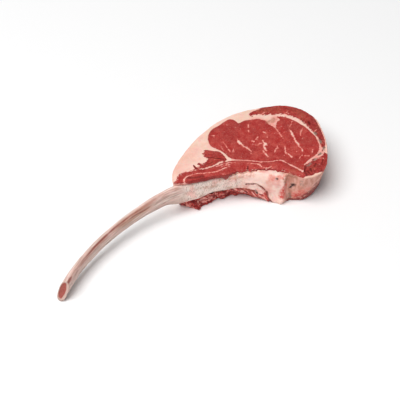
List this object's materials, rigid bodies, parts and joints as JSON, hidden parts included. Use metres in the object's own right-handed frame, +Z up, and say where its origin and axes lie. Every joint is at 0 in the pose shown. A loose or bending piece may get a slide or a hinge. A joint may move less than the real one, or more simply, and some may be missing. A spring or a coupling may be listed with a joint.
{
  "type": "raw veal tomahawk steak",
  "caption": "Raw rib steak with its long bare rib bone left on, a thick flat slab of red meat, fat and seams that lies on its cut face.",
  "frame": {"origin": "middle of the steak's box, on the board it lies on", "axes": "+X from the tip of the bone to the round end of the meat, +Y to the outer fat, +Z up out of the upper cut face"},
  "size_m": [0.3256, 0.122, 0.0396],
  "materials": {
    "lean": "moist raw red meat with fine fibres and pale fat flecks",
    "dark_lean": "moist raw meat of a darker red",
    "fat": "soft pinkish white raw fat, slightly waxy",
    "bone": "scraped grey-pink raw bone with red-brown streaks",
    "gristle": "moist pale pink gristle with red patches"
  },
  "bodies": {
    "root": {"rib_bone": "bone", "joint_tissue": "gristle", "eye_muscle": "lean", "cap_muscle": "dark_lean", "chine_muscle": "dark_lean", "wedge_muscle": "dark_lean", "rib_lean": "lean", "fat_cover": "fat"}
  },
  "joints": []
}
